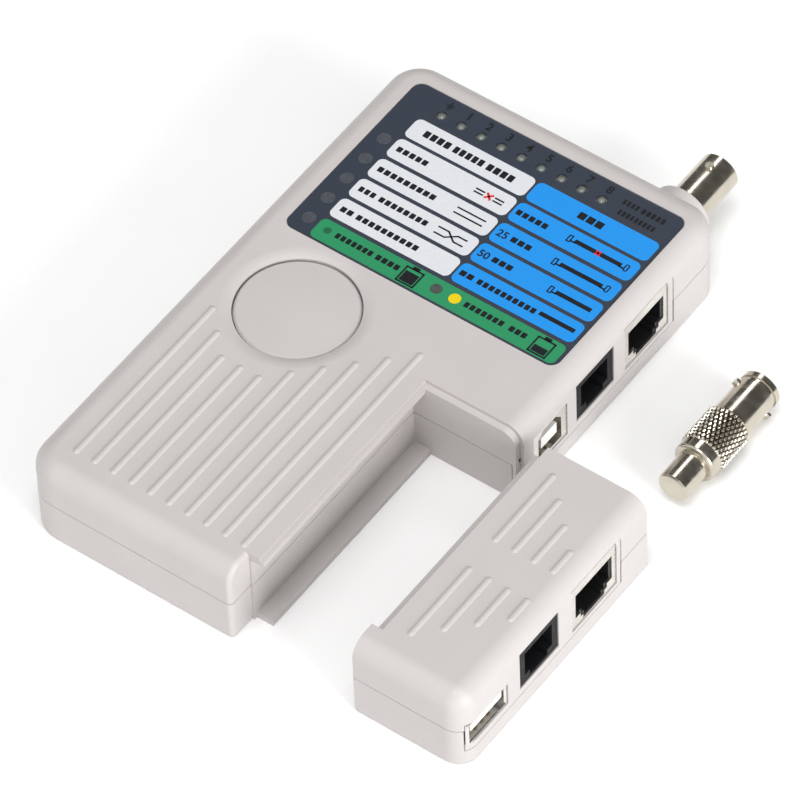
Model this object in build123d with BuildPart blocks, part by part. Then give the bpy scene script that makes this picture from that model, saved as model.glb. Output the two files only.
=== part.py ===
from build123d import *
import os

# Network cable tester: a main unit, a remote unit that docks into its corner, and a BNC terminator.
# Millimetres. The origin is the centre of the main unit's underside, +X towards the sockets,
# +Y towards the BNC jack, +Z up.

os.makedirs("parts", exist_ok=True)

# ---------------------------------------------------------------- main unit
case_width = 85.0
case_length = 143.0
case_height = 22.6
corner_radius = 8.0
top_round = 4.5
bottom_round = 1.0
wall = 2.0
seam_height = 11.7
seam_gap = 0.2
lip_height = 1.3
lip_inset = 1.1
skirt_height = 4.9
skirt_end = 51.8
case_right = case_width / 2
case_left = -case_right
case_far = case_length / 2
case_near = -case_far
ceiling = case_height - wall

# Corner notch that takes the remote unit
notch_skin_x = 16.5
notch_wall_x = 14.1
ear_pocket_x = 13.6
ear_pocket_y = -64.4
notch_skin_y = -4.4
notch_wall_y = -6.0
band_width = 1.0
band_step = 0.9
side_band_step = 1.1
lip_underside = 20.3
rail_edge_x = 18.4
rail_thickness = 1.6
rail_near_y = -63.6
rail_round = 0.5
ear_corner_round = 1.2

# Raised ribs
rib_pitch = 5.0
rib_radius = 1.15
rib_rise = 0.32
main_rib_count = 10
main_rib_x = -33.5
main_rib_near_y = -63.1
main_rib_valley_y = -24.5
main_rib_valley_first = 2
main_rib_valley_last = 4

# Display label
label_width = 73.0
label_length = 51.0
label_x = 0.9
label_y = 39.5
label_radius = 2.4
label_recess = 0.6
label_thickness = 0.45

# Indicator lamps
lamp_radius = 1.25
lamp_flange_radius = 1.55
lamp_hole_radius = 1.35
wire_lamp_count = 9
wire_lamp_x = -25.4
wire_lamp_pitch = 5.44
wire_lamp_y = 59.5
state_lamp_count = 5
state_lamp_x = -31.9
state_lamp_y = 18.7
state_lamp_pitch = 7.0
battery_lamp_x = 3.2
battery_lamp_y = 17.9

# Test button
button_x = -18.5
button_y = -3.7
button_radius = 14.1
button_gap = 0.35
button_travel = 1.2
button_top = 22.25
dish_radius = 17.2
dish_depth = 0.55

# Printed circuit boards
board_thickness = 1.6
board_top = 6.2
board_bottom = board_top - board_thickness

# Sockets: RJ45, RJ11, USB type B and USB type A
socket_inset = 0.25
rj45_width = 16.2
rj45_height = 13.3
rj45_depth = 18.0
rj45_contact_pitch = 1.02
rj11_contact_pitch = 1.27
rj11_width = 13.9
rj11_height = 12.3
rj11_depth = 15.0
rj11_window_bottom = 7.0
usb_b_width = 12.3
usb_b_height = 10.4
usb_b_depth = 15.0
usb_a_width = 14.0
usb_a_height = 6.5
usb_a_depth = 13.5
usb_a_bottom = 6.9
shield_thickness = 0.35
window_gap = 0.12
main_rj45_y = 41.7
main_rj11_y = 22.1
main_usb_b_y = 5.4

# BNC jack and terminator
bnc_x = 29.2
bnc_z = 11.3
bnc_tip_y = 89.6
bnc_barrel_radius = 4.8
bnc_bore_radius = 4.05
bnc_bore_depth = 9.0
bnc_lug_radius = 1.0
bnc_lug_reach = 5.5
bnc_lug_setback = 4.2
bnc_groove_depth = 0.3
bnc_groove_length = 1.3
bnc_rim_length = 1.7
jack_lug_angle = 92.0
jack_thread_radius = 4.6
jack_flange_radius = 7.0
jack_flange_length = 2.8
terminator_lug_angle = 144.0
bnc_insulator_radius = 2.4
bnc_contact_radius = 1.1
boss_radius = 7.2
boss_far = 75.2
terminator_x = 69.5
terminator_near = 12.4
terminator_cap_radius = 3.8
terminator_cap_length = 8.1
terminator_collar_radius = 5.2
terminator_collar_length = 3.1
terminator_knurl_radius = 5.55
terminator_knurl_length = 10.6
terminator_barrel_length = 12.8

# Battery, its door and its lead
battery_width = 26.4
battery_height = 17.4
battery_length = 46.4
battery_x = -13.9
battery_near = -67.4
battery_bottom = 3.1
door_width = 30.6
door_length = 49.0
door_near = -67.6
door_thickness = 1.6
door_gap = 0.3
door_recess = 0.15
door_left = battery_x - door_width / 2
door_far = door_near + door_length
door_ledge = 1.0
hook_width = 6.0
hook_spread = 9.0
hook_reach = 1.6
hook_thickness = 1.0
lead_radius = 0.6

# Fasteners
screw_radius = 1.3
screw_head_radius = 2.4
screw_head_height = 1.6
screw_length = 12.0
screw_recess = 3.0
post_radius = 3.1
main_screws = [(-36.0, 63.5), (36.6, 57.5), (-36.0, -64.3), (7.6, -64.3)]

# ---------------------------------------------------------------- remote unit
dock_travel = 32.4
dock_gap = 0.3
remote_right = case_right + dock_travel
remote_left = notch_wall_x + dock_gap + dock_travel
remote_ear_left = ear_pocket_x + dock_gap + dock_travel
remote_skin_left = notch_skin_x + 0.25 + dock_travel
remote_rabbet_x = notch_skin_x + band_width + dock_gap + dock_travel
remote_rabbet_z = lip_underside - dock_gap
remote_far = notch_skin_y - dock_gap
remote_near = case_near - 0.5
remote_far_wall = notch_wall_y - dock_gap
remote_ear_far = ear_pocket_y - 0.4
remote_overhang_z = case_height - band_step + dock_gap
remote_rim_x = case_right - side_band_step + dock_gap + dock_travel
remote_corner_radius = 4.6
remote_skirt_end = -14.5
remote_rj45_y = -24.2
remote_rj11_y = -44.5
remote_usb_a_y = -63.0
remote_inner_left = remote_rabbet_x + 1.6
remote_inner_far = remote_far_wall - 1.8
remote_ribs_far_x = 54.6
remote_ribs_far_near_y = -31.6
remote_ribs_far_tip_y = -10.6
remote_ribs_near_far_y = -41.3
remote_ribs_near_tip_y = -62.2
remote_rib_count = 4
remote_screws = [(56.6, -12.4), (57.0, -67.4)]


def block(x_span, y_span, z_span, mode=Mode.ADD):
    """A rectangular block between two corners, in the part that is being built."""
    middle = [(low + high) / 2 for low, high in (x_span, y_span, z_span)]
    size = [high - low for low, high in (x_span, y_span, z_span)]
    with Locations(tuple(middle)):
        Box(*size, mode=mode)


def round_bar(x, z, radius, y_span, mode=Mode.ADD):
    """A cylinder along Y, in the part that is being built."""
    with Locations(Location((x, sum(y_span) / 2, z), (90, 0, 0))):
        Cylinder(radius, y_span[1] - y_span[0], mode=mode)


def upright(places, radius, z_span, mode=Mode.ADD):
    """Cylinders along Z at every place, in the part that is being built."""
    with Locations(*[(x, y, sum(z_span) / 2) for x, y in places]):
        Cylinder(radius, z_span[1] - z_span[0], mode=mode)


def rib(x, near_y, far_y):
    """A raised rounded rib along Y on the top face, in the part that is being built."""
    z = case_height + rib_rise - rib_radius
    round_bar(x, z, rib_radius, (near_y, far_y))
    with Locations((x, near_y, z), (x, far_y, z)):
        Sphere(rib_radius)


def main_footprint(inset, notch_shift):
    """The main unit's L-shaped plan, drawn in the sketch that is being built."""
    RectangleRounded(case_width - 2 * inset, case_length - 2 * inset, corner_radius - inset)
    corner_x = notch_wall_x - notch_shift
    corner_y = notch_wall_y + notch_shift
    with Locations(((corner_x + case_width) / 2, (corner_y - case_length) / 2)):
        Rectangle(case_width - corner_x, case_length + corner_y, mode=Mode.SUBTRACT)


def save(piece, node):
    """Names a finished piece and writes its STEP file."""
    piece.part.label = node
    export_step(piece.part, f"parts/{node}.step")


# ================================================================ main unit: shells
socket_windows = [
    (main_rj45_y, rj45_width, board_top, board_top + rj45_height),
    (main_rj11_y, rj11_width, rj11_window_bottom, board_top + rj11_height),
    (main_usb_b_y, usb_b_width, board_top, board_top + usb_b_height),
]
far_away = 200.0
lamp_places = [(wire_lamp_x + i * wire_lamp_pitch, wire_lamp_y) for i in range(wire_lamp_count)]
state_places = [(state_lamp_x, state_lamp_y + i * state_lamp_pitch) for i in range(state_lamp_count)]
battery_lamp_place = (battery_lamp_x, battery_lamp_y)
all_lamp_places = lamp_places + state_places + [battery_lamp_place]

# Everything outside the stepped band round the notch: the case's outline drawn in by one step.
band_floor = case_height - band_step
side_band_x = case_right - side_band_step
with BuildPart() as step_zone:
    block((notch_skin_x, far_away), (-far_away, notch_skin_y), (-1, far_away))
    with BuildSketch(Plane.XZ.offset(-notch_skin_y - 1)):
        with Locations((0, band_floor / 2 - far_away / 2)):
            RectangleRounded(2 * side_band_x, band_floor + far_away, top_round - band_step)
    extrude(amount=far_away, mode=Mode.SUBTRACT)

# The outside of both shells in one piece: rounded block, BNC boss and the notch with its lip,
# rail and stepped band.
with BuildPart() as main_outside:
    with BuildSketch():
        RectangleRounded(case_width, case_length, corner_radius)
    extrude(amount=case_height)
    fillet(main_outside.faces().sort_by(Axis.Z)[-1].edges(), top_round)
    fillet(main_outside.faces().sort_by(Axis.Z)[0].edges(), bottom_round)
    round_bar(bnc_x, bnc_z, boss_radius, (case_far - wall, boss_far))
    fillet(main_outside.faces().sort_by(Axis.Y)[-1].edges(), 0.6)
    notch_near = (-far_away, notch_wall_y)
    beyond_right = (notch_skin_x + band_width, far_away)
    block(beyond_right, notch_near, (rail_thickness, far_away), Mode.SUBTRACT)
    block((rail_edge_x, far_away), notch_near, (-1, far_away), Mode.SUBTRACT)
    block((notch_wall_x, far_away), notch_near, (rail_thickness, lip_underside), Mode.SUBTRACT)
    block((ear_pocket_x, far_away), (-far_away, ear_pocket_y), (-1, far_away), Mode.SUBTRACT)
    block((notch_wall_x, far_away), (-far_away, rail_near_y), (-1, lip_underside), Mode.SUBTRACT)
    add(step_zone.part, mode=Mode.SUBTRACT)
    rail_edges = main_outside.edges().filter_by(Axis.Y).filter_by_position(
        Axis.X, rail_edge_x - 0.01, rail_edge_x + 0.01
    )
    fillet(rail_edges.sort_by(Axis.Z)[-1:], rail_round)
    # Rounded corner between the near end and the ear pocket
    pocket_corner = main_outside.edges().filter_by_position(Axis.X, ear_pocket_x - 0.01, ear_pocket_x + 0.01)
    near_part = pocket_corner.filter_by_position(Axis.Y, case_near - 1, ear_pocket_y + 0.01)
    fillet(near_part.filter_by(Axis.Z, reverse=True) + near_part.filter_by(Axis.Z).sort_by(Axis.Y)[:1],
           ear_corner_round)

# The hollow inside both shells.
with BuildPart() as main_hollow:
    with BuildSketch(Plane.XY.offset(wall)):
        main_footprint(wall, wall)
    extrude(amount=ceiling - wall)
    outer_top = main_hollow.faces().sort_by(Axis.Z)[-1].edges()
    round_top = [e for e in outer_top if e.center().X < ear_pocket_x - wall - 1 or e.center().Y > 0]
    fillet(round_top, top_round - wall)

# What belongs to the lower shell: below the seam, and below the skirt beside the sockets.
with BuildPart() as main_lower_zone:
    block((-far_away, far_away), (-far_away, far_away), (-1, seam_height))
    block((case_right - wall - 0.1, far_away), (notch_skin_y - 8, skirt_end), (skirt_height, seam_height + 1),
          Mode.SUBTRACT)

with BuildPart() as main_top_shell:
    add(main_outside.part)
    add(main_hollow.part, mode=Mode.SUBTRACT)
    add(main_lower_zone.part, mode=Mode.SUBTRACT)
    # Groove over the lower shell's lip
    with BuildSketch(Plane.XY.offset(seam_height)) as lip_groove:
        main_footprint(lip_inset - 0.1, lip_inset - 0.1)
    extrude(amount=lip_height + 0.2, mode=Mode.SUBTRACT)
    # Ribs, and the shallow dish round the button
    for i in range(main_rib_count):
        climb = max(0, i - main_rib_valley_last, main_rib_valley_first - i)
        rib(main_rib_x + i * rib_pitch, main_rib_near_y, main_rib_valley_y + climb * rib_pitch)
    with BuildSketch(Plane.XZ.offset(-button_y)) as dish_profile:
        with BuildLine():
            rim = (button_x + dish_radius, case_height)
            well = (button_x + button_radius + button_gap, case_height - dish_depth)
            TangentArc(rim, well, tangent=(-1, 0))
            Polyline(well, (button_x, case_height - dish_depth), (button_x, case_height + 2),
                     (rim[0], case_height + 2), rim)
        make_face()
    revolve(axis=Axis((button_x, button_y, 0), (0, 0, 1)), mode=Mode.SUBTRACT)
    upright([(button_x, button_y)], button_radius + button_gap, (ceiling - 1, case_height + 1), Mode.SUBTRACT)
    # Recess for the label and holes for the lamps
    with BuildSketch(Plane.XY.offset(case_height - label_recess)):
        with Locations((label_x, label_y)):
            RectangleRounded(label_width + 0.3, label_length + 0.3, label_radius + 0.15)
    extrude(amount=label_recess + 1, mode=Mode.SUBTRACT)
    upright(all_lamp_places, lamp_hole_radius, (ceiling - 1, case_height), Mode.SUBTRACT)
    # Socket windows
    for middle, width, low, high in socket_windows:
        half = width / 2 + window_gap
        block((case_right - wall - 1, case_right + 1), (middle - half, middle + half),
              (low - window_gap, high + window_gap), Mode.SUBTRACT)
    # Vertical groove at the end of the socket skirt
    block((case_right - 0.3, case_right + 1), (skirt_end - 0.25, skirt_end + 0.25),
          (skirt_height, board_top + rj45_height), Mode.SUBTRACT)
    # Screw posts, button guide ring and the BNC bore
    upright(main_screws, post_radius, (seam_height, ceiling + 0.2))
    upright(main_screws, screw_radius + 0.02, (seam_height, seam_height + 6.5), Mode.SUBTRACT)
    round_bar(bnc_x, bnc_z, bnc_barrel_radius + 0.1, (case_far - wall - 1, boss_far + 1), Mode.SUBTRACT)

with BuildPart() as main_bottom_shell:
    add(main_outside.part)
    add(main_hollow.part, mode=Mode.SUBTRACT)
    add(main_lower_zone.part, mode=Mode.INTERSECT)
    block((-far_away, far_away), (-far_away, far_away), (seam_height - seam_gap, seam_height + 1), Mode.SUBTRACT)
    # Lip that rises inside the upper shell
    with BuildSketch(Plane.XY.offset(seam_height - 2)):
        main_footprint(lip_inset, lip_inset)
    extrude(amount=2 + lip_height)
    with BuildSketch(Plane.XY.offset(seam_height - 2)):
        main_footprint(wall, wall)
    extrude(amount=2 + lip_height, mode=Mode.SUBTRACT)
    block((case_right - wall - 0.3, far_away), (-far_away, skirt_end + 0.3),
          (skirt_height - seam_gap, far_away), Mode.SUBTRACT)
    # Battery door opening, screw posts and board supports
    block((door_left - door_gap, door_left + door_width + door_gap), (door_near - door_gap, door_far + door_gap),
          (-1, wall + 1), Mode.SUBTRACT)
    upright(main_screws, post_radius, (wall - 0.2, seam_height - seam_gap))
    upright(main_screws, screw_radius + 0.25, (-1, seam_height + 1), Mode.SUBTRACT)
    upright(main_screws, screw_head_radius + 0.25, (-1, screw_recess), Mode.SUBTRACT)
    upright([(-34, -10), (-34, 50), (10, 2), (10, 62), (34, 8), (34, 30)], 2.0, (wall - 0.2, board_bottom))
    for edge, inward in ((door_left, 1), (door_left + door_width, -1)):
        ledge = sorted((edge - inward * 1.5, edge + inward * door_ledge))
        rail = sorted((edge, edge + inward * door_ledge))
        block(ledge, (door_near + 2, door_far - 2), (wall, wall + 1.0))
        block(rail, (door_near + 2, door_far - 4), (wall, 9.0))
    round_bar(bnc_x, bnc_z, bnc_barrel_radius + 0.1, (case_far - wall - 1, boss_far + 1), Mode.SUBTRACT)


# ================================================================ main unit: label, lamps and button
with BuildPart() as display_label:
    label_bottom = case_height - label_recess
    with BuildSketch(Plane.XY.offset(label_bottom)):
        with Locations((label_x, label_y)):
            RectangleRounded(label_width, label_length, label_radius)
    extrude(amount=label_thickness)
    upright(lamp_places, lamp_radius + 0.03, (label_bottom - 1, case_height + 1), Mode.SUBTRACT)


def lamp_row(places, dome_top):
    """Lamps on two long legs down to the board, one solid for each place."""
    with BuildPart() as lamps:
        upright(places, lamp_radius, (ceiling - 2.5, dome_top - lamp_radius * 0.5))
        with Locations(*[(x, y, dome_top - lamp_radius) for x, y in places]):
            Sphere(lamp_radius)
        upright(places, lamp_flange_radius, (ceiling - 2.6, ceiling - 1.6))
        legs = [(x + side, y) for x, y in places for side in (-0.7, 0.7)]
        leg_top = ceiling - 2.4
        with Locations(*[(x, y, (board_top + leg_top) / 2) for x, y in legs]):
            Box(0.5, 0.5, leg_top - board_top)
    return lamps


wire_lamps = lamp_row(lamp_places, case_height - 0.05)
state_lamps = lamp_row(state_places, label_bottom - 0.05)
battery_lamp = lamp_row([battery_lamp_place], label_bottom - 0.05)

# The cap rides down in the shell's hole; its flange stays under the shell.
button_flange_top = ceiling - 0.5
stem_bottom = board_top + 7.6
with BuildPart() as button_cap:
    with BuildSketch(Plane.XZ.offset(-button_y)) as cap_profile:
        with BuildLine():
            edge = (button_x + button_radius, button_top - 0.75)
            crown = (button_x, button_top)
            shoulder = (button_x + button_radius - 0.5, button_top - 0.3)
            ThreePointArc(crown, (button_x + button_radius / 2, button_top - 0.07), shoulder)
            Polyline(shoulder, edge, (edge[0], button_flange_top), (edge[0] + 1.1, button_flange_top),
                     (edge[0] + 1.1, button_flange_top - 0.9), (edge[0] - 1.6, button_flange_top - 0.9),
                     (edge[0] - 1.6, button_top - 2.2), (button_x + 3.0, button_top - 2.2),
                     (button_x + 3.0, stem_bottom), (button_x, stem_bottom), crown)
        make_face()
    revolve(axis=Axis((button_x, button_y, 0), (0, 0, 1)))

switch_body_top = board_top + 4.3
with BuildPart() as test_switch:
    half_switch = 6.0
    block((button_x - half_switch, button_x + half_switch), (button_y - half_switch, button_y + half_switch),
          (board_top, switch_body_top))
    fillet(test_switch.edges().filter_by(Axis.Z), 0.8)
    upright([(button_x, button_y)], 3.6, (board_top + 1.5, switch_body_top + 1), Mode.SUBTRACT)

with BuildPart() as switch_plunger:
    upright([(button_x, button_y)], 3.3, (switch_body_top - 1.2, stem_bottom))

# Return spring between the switch body and the cap
spring_wire = 0.35
spring_radius = 4.6
spring_turns = 5
spring_low = switch_body_top + spring_wire
spring_high = button_top - 2.2 - spring_wire
with BuildPart() as button_spring:
    with BuildLine() as coil:
        Helix(pitch=(spring_high - spring_low) / spring_turns, height=spring_high - spring_low,
              radius=spring_radius, center=(button_x, button_y, spring_low))
    with BuildSketch(Plane(origin=coil.line @ 0, z_dir=coil.line % 0)):
        Circle(spring_wire)
    sweep(path=coil.line)

# ================================================================ main unit: board and what stands on it
with BuildPart() as main_board:
    board_left, board_right = case_left + 3.0, case_right - 3.0
    block((board_left, board_right), (notch_wall_y + 3.0, 65.0), (board_bottom, board_top))
    block((board_left, notch_wall_x - 3.0), (-17.8, notch_wall_y + 3.0), (board_bottom, board_top))
    clear = post_radius + 0.5
    for x, y in main_screws[:2]:
        block((x - clear, x + clear), (y - clear, case_far), (0, 10), Mode.SUBTRACT)

with BuildPart() as control_chip:
    block((-4.0, 4.0), (25.0, 35.0), (board_top, board_top + 2.3))
    chip_legs = [(x, 26.2 + i * 1.27) for i in range(7) for x in (-4.6, 4.6)]
    with Locations(*[(x, y, board_top + 0.4) for x, y in chip_legs]):
        Box(1.4, 0.45, 0.8)

with BuildPart() as lamp_resistors:
    for i in range(7):
        round_bar(wire_lamp_x + i * wire_lamp_pitch, board_top + 1.1, 1.1, (48.5, 54.5))


def rj45_opening(y, reach, grow, mode):
    """The stepped plug opening of an RJ45 socket, cut from the face inwards; grow widens it."""
    for half, low, high in ((5.95, 9.6, 16.6), (4.1, 8.3, 9.7), (3.15, 7.1, 8.4)):
        block(reach, (y - half - grow, y + half + grow), (low - grow * 0.4, high + grow * 0.3), mode)


def rj45_socket(face_x, y):
    """A shielded RJ45 socket facing +X: metal shield, moulded insert and eight spring contacts."""
    half, top = rj45_width / 2, board_top + rj45_height
    skin = shield_thickness
    back = face_x - rj45_depth
    with BuildPart() as shield:
        block((back, face_x), (y - half, y + half), (board_top, top))
        block((back - 1, face_x - skin), (y - half + skin, y + half - skin), (board_top + skin, top - skin),
              Mode.SUBTRACT)
        rj45_opening(y, (face_x - 1, face_x + 1), 0.75, Mode.SUBTRACT)
    with BuildPart() as insert:
        gap = skin + 0.05
        block((back + 0.5, face_x - gap), (y - half + gap, y + half - gap), (board_top + gap, top - gap))
        rj45_opening(y, (face_x - 13.0, face_x + 1), 0.0, Mode.SUBTRACT)
    with BuildPart() as contacts:
        for i in range(8):
            with Locations(Location((face_x - 6.8, y + (i - 3.5) * rj45_contact_pitch, 15.45), (0, -18, 0))):
                Box(8.0, 0.4, 0.3)
    return shield, insert, contacts


def rj11_socket(face_x, y):
    """An unshielded RJ11 socket facing +X: moulded housing and four spring contacts."""
    half, top = rj11_width / 2, board_top + rj11_height
    with BuildPart() as housing:
        block((face_x - rj11_depth, face_x), (y - half, y + half), (board_top, top))
        for cut_half, low, high in ((4.95, 9.5, 16.6), (3.15, 7.9, 9.6)):
            block((face_x - 11.0, face_x + 1), (y - cut_half, y + cut_half), (low, high), Mode.SUBTRACT)
        # Step over the shell's sill
        block((face_x - wall - 0.3, face_x + 1), (y - half, y + half), (board_top - 1, rj11_window_bottom),
              Mode.SUBTRACT)
    with BuildPart() as contacts:
        for i in range(4):
            with Locations(Location((face_x - 6.2, y + (i - 1.5) * rj11_contact_pitch, 15.5), (0, -18, 0))):
                Box(7.5, 0.4, 0.3)
    return housing, contacts


def usb_b_opening(y, z, grow):
    """The plug opening of a USB type B socket: a square with its two top corners cut off."""
    half, cut = 4.25 + grow, 1.9
    with Locations((y, z)):
        Polygon((-half, -half), (half, -half), (half, half - cut), (half - cut, half),
                (cut - half, half), (-half, half - cut), align=None)


def usb_b_socket(face_x, y):
    """A USB type B socket facing +X: metal shell, moulded tongue and four contacts."""
    z = board_top + usb_b_height / 2
    half = usb_b_width / 2
    mouth = Plane(origin=(face_x, 0, 0), x_dir=(0, 1, 0), z_dir=(1, 0, 0))
    with BuildPart() as shell:
        block((face_x - usb_b_depth, face_x), (y - half, y + half), (board_top, board_top + usb_b_height))
        with BuildSketch(mouth):
            usb_b_opening(y, z, 0.0)
        extrude(amount=-10.0, mode=Mode.SUBTRACT)
    with BuildPart() as tongue:
        with BuildSketch(mouth.offset(-10.0)):
            usb_b_opening(y, z, -0.05)
        extrude(amount=2.0)
        block((face_x - 8.5, face_x - 0.3), (y - 2.9, y + 2.9), (z - 1.6, z + 1.7))
    with BuildPart() as contacts:
        places = [(y + side * 1.25, z + height) for side in (-1, 1) for height in (-1.7, 1.8)]
        for contact_y, contact_z in places:
            block((face_x - 8.0, face_x - 1.6), (contact_y - 0.5, contact_y + 0.5),
                  (contact_z - 0.1, contact_z + 0.1))
    return shell, tongue, contacts


def usb_a_socket(face_x, y):
    """A USB type A socket facing +X: flared metal shell, moulded tongue and four contacts."""
    z = usb_a_bottom + usb_a_height / 2
    with BuildPart() as shell:
        for half_y, half_z, reach in ((6.6, 2.9, usb_a_depth), (usb_a_width / 2, usb_a_height / 2, 0.8)):
            block((face_x - reach, face_x), (y - half_y, y + half_y), (z - half_z, z + half_z))
        block((face_x - usb_a_depth + 0.4, face_x + 1), (y - 6.25, y + 6.25), (z - 2.55, z + 2.55), Mode.SUBTRACT)
        mouth_edges = shell.faces().sort_by(Axis.X)[-1].inner_wires().edges()
        chamfer(mouth_edges, 0.3)
        for foot_y in (y - 5.6, y + 4.8):
            block((face_x - 8.0, face_x - 4.0), (foot_y, foot_y + 0.8), (board_top, z - 2.8))
    with BuildPart() as tongue:
        back = face_x - usb_a_depth + 0.45
        block((back, back + 3.0), (y - 6.2, y + 6.2), (z - 2.5, z + 2.5))
        block((back + 3.0, face_x - 0.4), (y - 5.55, y + 5.55), (z + 0.1, z + 1.9))
    with BuildPart() as contacts:
        for i in range(4):
            middle = y + (i - 1.5) * 2.3
            block((back + 3.1, face_x - 2.2), (middle - 0.55, middle + 0.55), (z - 0.05, z + 0.1))
    return shell, tongue, contacts


main_face = case_right - socket_inset
main_rj45_shield, main_rj45_insert, main_rj45_contacts = rj45_socket(main_face, main_rj45_y)
main_rj11_housing, main_rj11_contacts = rj11_socket(main_face, main_rj11_y)
main_usb_b_shell, main_usb_b_tongue, main_usb_b_contacts = usb_b_socket(main_face, main_usb_b_y)

# ================================================================ BNC jack and terminator


def bnc_lugs(x, z, y, angle):
    """Two opposite bayonet pins across a barrel, in the part that is being built."""
    for turn in (angle, angle + 180):
        with Locations(Location((x, y, z), (0, -turn, 0))):
            with Locations(Location((bnc_lug_reach / 2 + 1.9, 0, 0), (0, 90, 0))):
                Cylinder(bnc_lug_radius, bnc_lug_reach - 3.8)


def bnc_socket_bore(x, z, tip_y, mode=Mode.SUBTRACT):
    """The open mouth of a BNC socket and the through hole for its insulator."""
    round_bar(x, z, bnc_bore_radius, (tip_y - bnc_bore_depth, tip_y + 1), mode)


jack_flange_far = case_far - wall - 0.2
jack_flange_near = jack_flange_far - jack_flange_length
jack_neck_near = jack_flange_near - 5.0
with BuildPart() as bnc_jack_body:
    round_bar(bnc_x, bnc_z, jack_thread_radius, (jack_flange_far, boss_far))
    round_bar(bnc_x, bnc_z, bnc_barrel_radius, (boss_far, bnc_tip_y))
    chamfer(bnc_jack_body.faces().sort_by(Axis.Y)[-1].edges(), 0.35)
    round_bar(bnc_x, bnc_z, jack_flange_radius, (jack_flange_near, jack_flange_far))
    round_bar(bnc_x, bnc_z, 4.0, (jack_neck_near, jack_flange_near))
    bnc_lugs(bnc_x, bnc_z, bnc_tip_y - bnc_lug_setback, jack_lug_angle)
    bnc_socket_bore(bnc_x, bnc_z, bnc_tip_y)
    round_bar(bnc_x, bnc_z, bnc_insulator_radius + 0.02, (jack_neck_near - 1, bnc_tip_y), Mode.SUBTRACT)

with BuildPart() as bnc_jack_insulator:
    round_bar(bnc_x, bnc_z, bnc_insulator_radius, (jack_neck_near, bnc_tip_y - 1.2))
    round_bar(bnc_x, bnc_z, bnc_contact_radius + 0.02, (jack_neck_near - 1, bnc_tip_y), Mode.SUBTRACT)

with BuildPart() as bnc_jack_contact:
    round_bar(bnc_x, bnc_z, bnc_contact_radius, (jack_neck_near - 3.0, bnc_tip_y - 1.6))
    round_bar(bnc_x, bnc_z, 0.7, (bnc_tip_y - 7.5, bnc_tip_y), Mode.SUBTRACT)

terminator_z = terminator_knurl_radius
collar_near = terminator_near + terminator_cap_length
knurl_near = collar_near + terminator_collar_length
barrel_near = knurl_near + terminator_knurl_length
terminator_tip = barrel_near + terminator_barrel_length
with BuildPart() as terminator_cap:
    round_bar(terminator_x, terminator_z, terminator_cap_radius, (terminator_near, knurl_near + 4.0))
    chamfer(terminator_cap.faces().sort_by(Axis.Y)[0].edges(), 0.4)
    round_bar(terminator_x, terminator_z, 2.6, (terminator_near + 1.2, knurl_near + 5.0), Mode.SUBTRACT)

with BuildPart() as terminator_sleeve:
    round_bar(terminator_x, terminator_z, terminator_collar_radius, (collar_near, knurl_near))
    fillet(terminator_sleeve.faces().sort_by(Axis.Y)[0].edges(), 0.8)
    round_bar(terminator_x, terminator_z, terminator_knurl_radius, (knurl_near, barrel_near))
    chamfer(terminator_sleeve.faces().sort_by(Axis.Y)[-1].edges(), 0.6)
    round_bar(terminator_x, terminator_z, terminator_cap_radius + 0.02, (collar_near - 1, barrel_near + 1),
              Mode.SUBTRACT)

with BuildPart() as terminator_barrel:
    round_bar(terminator_x, terminator_z, terminator_cap_radius, (knurl_near + 4.0, barrel_near))
    round_bar(terminator_x, terminator_z, bnc_barrel_radius, (barrel_near, terminator_tip))
    chamfer(terminator_barrel.faces().sort_by(Axis.Y)[-1].edges(), 0.35)
    groove = (terminator_tip - bnc_rim_length - bnc_groove_length, terminator_tip - bnc_rim_length)
    round_bar(terminator_x, terminator_z, bnc_barrel_radius + 1, groove, Mode.SUBTRACT)
    round_bar(terminator_x, terminator_z, bnc_barrel_radius - bnc_groove_depth, groove)
    bnc_lugs(terminator_x, terminator_z, terminator_tip - bnc_lug_setback, terminator_lug_angle)
    bnc_socket_bore(terminator_x, terminator_z, terminator_tip)
    round_bar(terminator_x, terminator_z, bnc_insulator_radius + 0.02, (knurl_near, terminator_tip), Mode.SUBTRACT)

with BuildPart() as terminator_insulator:
    round_bar(terminator_x, terminator_z, bnc_insulator_radius, (knurl_near + 4.0, terminator_tip - 1.2))
    round_bar(terminator_x, terminator_z, bnc_contact_radius + 0.02, (knurl_near, terminator_tip), Mode.SUBTRACT)

with BuildPart() as terminator_contact:
    round_bar(terminator_x, terminator_z, bnc_contact_radius, (knurl_near + 3.0, terminator_tip - 1.6))
    round_bar(terminator_x, terminator_z, 0.7, (terminator_tip - 7.5, terminator_tip), Mode.SUBTRACT)

with BuildPart() as terminator_resistor:
    round_bar(terminator_x, terminator_z, 1.2, (collar_near - 4.0, collar_near + 3.0))
    round_bar(terminator_x, terminator_z, 0.3, (terminator_near + 1.2, knurl_near + 3.0))

# ================================================================ battery, snap, leads and door
battery_top = battery_bottom + battery_height
battery_far = battery_near + battery_length
battery_middle_z = battery_bottom + battery_height / 2
terminal_spread = 6.35
with BuildPart() as battery:
    block((battery_x - battery_width / 2, battery_x + battery_width / 2), (battery_near, battery_far),
          (battery_bottom, battery_top))
    fillet(battery.edges().filter_by(Axis.Y), 2.2)
    fillet(battery.faces().sort_by(Axis.Y)[0].edges(), 0.5)

with BuildPart() as battery_terminals:
    round_bar(battery_x + terminal_spread, battery_middle_z, 2.9, (battery_far, battery_far + 2.2))
    with BuildSketch(Plane.XZ.offset(-battery_far)):
        with Locations((battery_x - terminal_spread, battery_middle_z)):
            RegularPolygon(4.2, 6)
    extrude(amount=-2.2)
    round_bar(battery_x - terminal_spread, battery_middle_z, 3.0, (battery_far + 0.6, battery_far + 4), Mode.SUBTRACT)

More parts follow.
